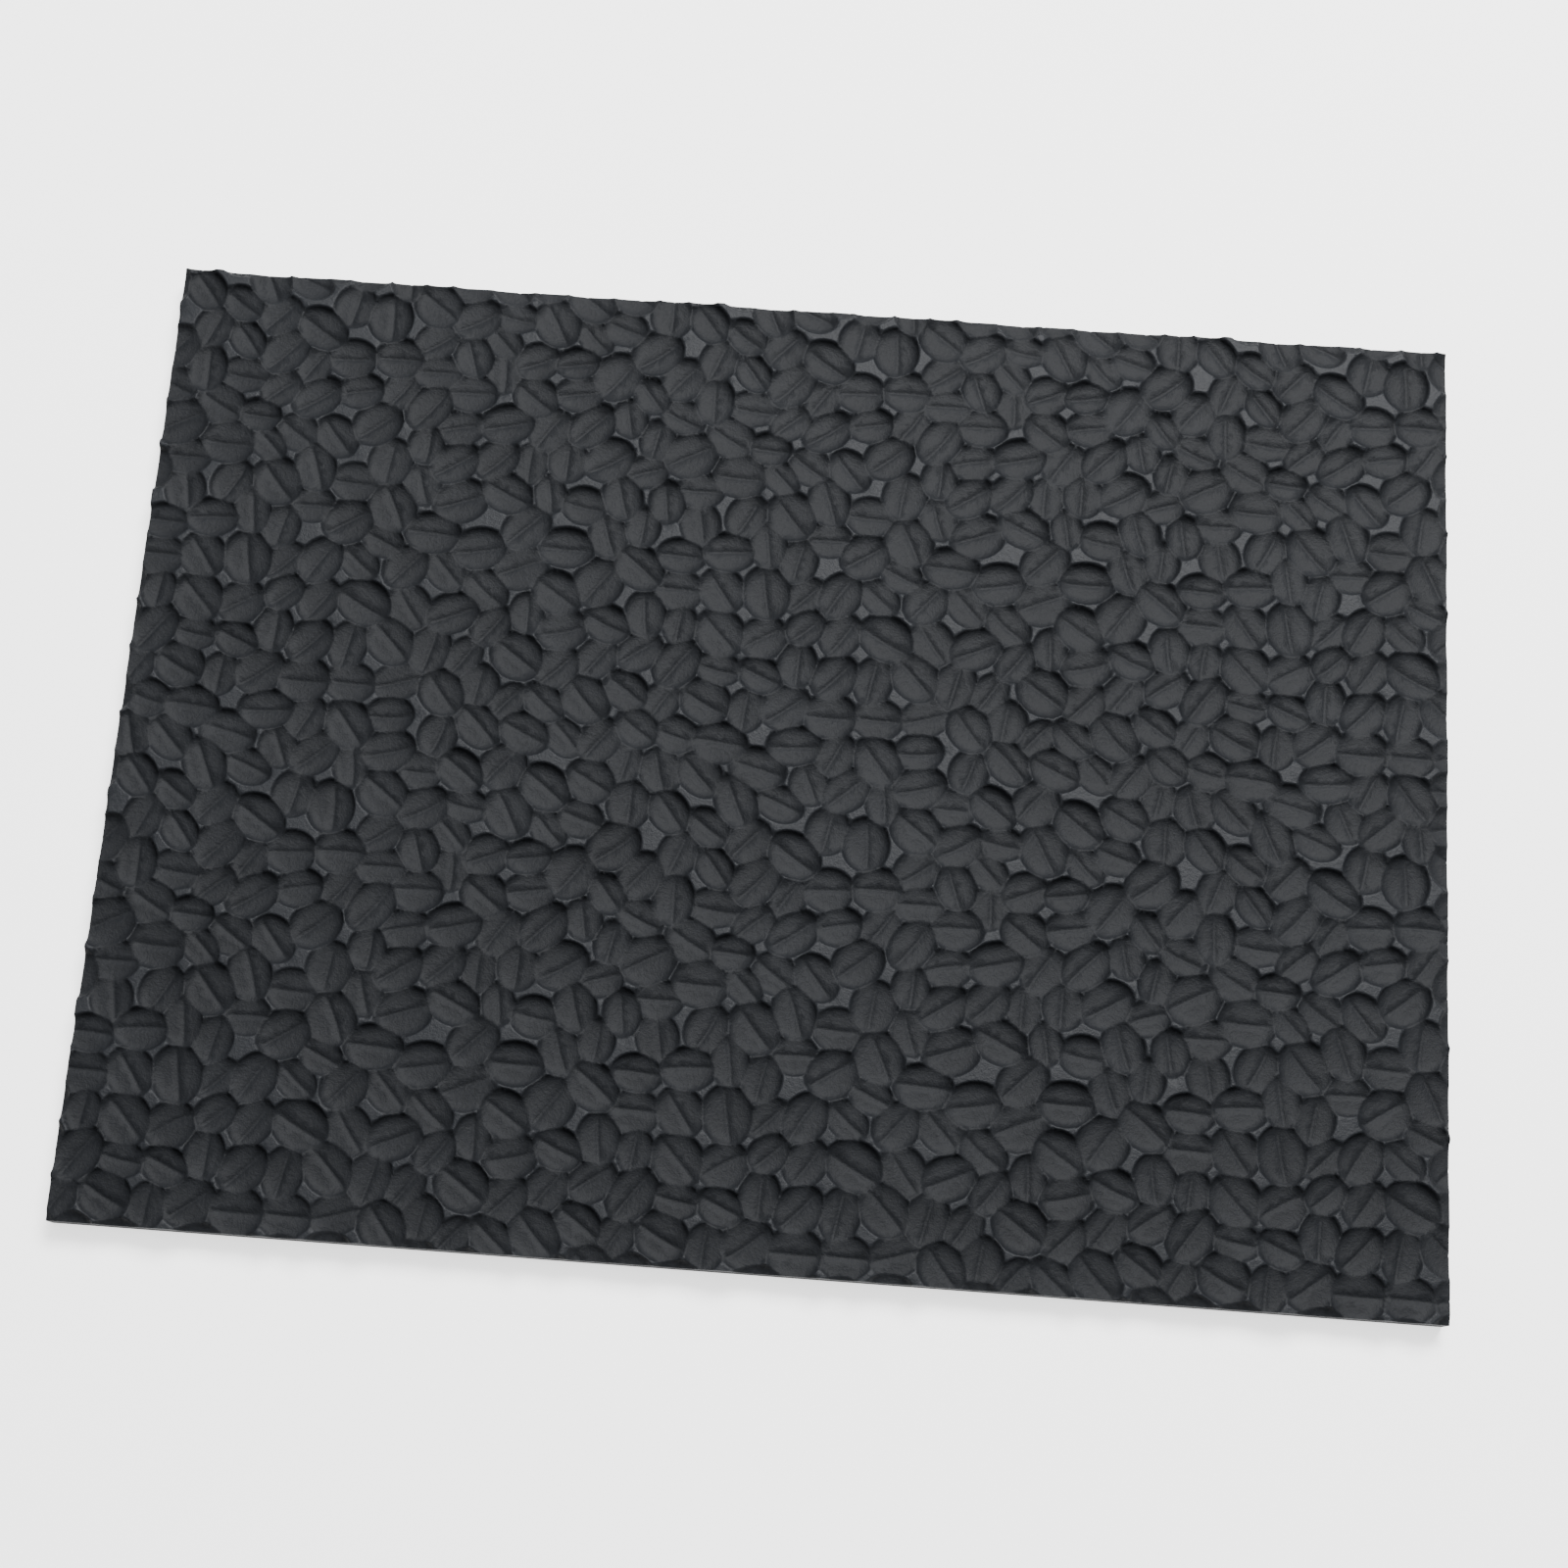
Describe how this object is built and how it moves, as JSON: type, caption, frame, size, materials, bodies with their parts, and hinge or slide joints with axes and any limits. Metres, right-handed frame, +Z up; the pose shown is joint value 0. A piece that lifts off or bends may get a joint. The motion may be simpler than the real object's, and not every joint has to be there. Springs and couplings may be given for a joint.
{
  "type": "seedling heat mat",
  "caption": "Flat rectangular rubber heating mat with oval creased impressions all over its top, a flat underside and a cord gland in the back edge.",
  "frame": {"origin": "middle of the footprint, on the underside", "axes": "+X along the long side, +Y towards the back edge with the cord gland, +Z up out of the textured face"},
  "size_m": [0.4, 0.3, 0.01],
  "materials": {
    "embossed_rubber": "matte moulded rubber, charcoal, fine grain",
    "rubber_sheet": "matte calendered rubber, charcoal",
    "rubber_rim": "cut rubber edge, matte",
    "gland_rubber": "moulded rubber, satin black",
    "foam": "closed-cell foam, matte grey",
    "foil": "rolled aluminium foil, bright",
    "film": "polyester film, translucent amber",
    "tape": "woven glass-cloth tape, off-white",
    "resistance_wire": "drawn nickel-chrome wire",
    "silicone_jacket": "silicone rubber, dark red",
    "copper": "stranded copper conductor",
    "lead_jacket": "extruded PVC, black",
    "tinned_brass": "tin-plated brass, satin",
    "shrink_tube": "polyolefin shrink tube, dark blue-black",
    "cutout_case": "drawn steel case, satin"
  },
  "bodies": {
    "root": {"bottom_cover": "rubber_sheet", "top_cover": "embossed_rubber", "rim_front": "rubber_rim", "rim_left": "rubber_rim", "rim_right": "rubber_rim", "rim_back_left": "rubber_rim", "rim_back_right": "rubber_rim", "cord_gland": "gland_rubber", "insulation_foam": "foam", "reflector_foil": "foil", "lower_film": "film", "upper_film": "film", "spreader_foil": "foil", "fixing_tapes": "tape", "heating_wire_core": "resistance_wire", "heating_wire_jacket": "silicone_jacket", "lead_core_live": "copper", "lead_core_return": "copper", "lead_jacket_live": "lead_jacket", "lead_jacket_return": "lead_jacket", "splice_crimp_live": "tinned_brass", "splice_crimp_cutout": "tinned_brass", "splice_crimp_return": "tinned_brass", "shrink_sleeve_live": "shrink_tube", "shrink_sleeve_cutout": "shrink_tube", "shrink_sleeve_return": "shrink_tube", "thermal_cutout": "cutout_case", "cutout_leads": "tinned_brass"}
  },
  "joints": []
}
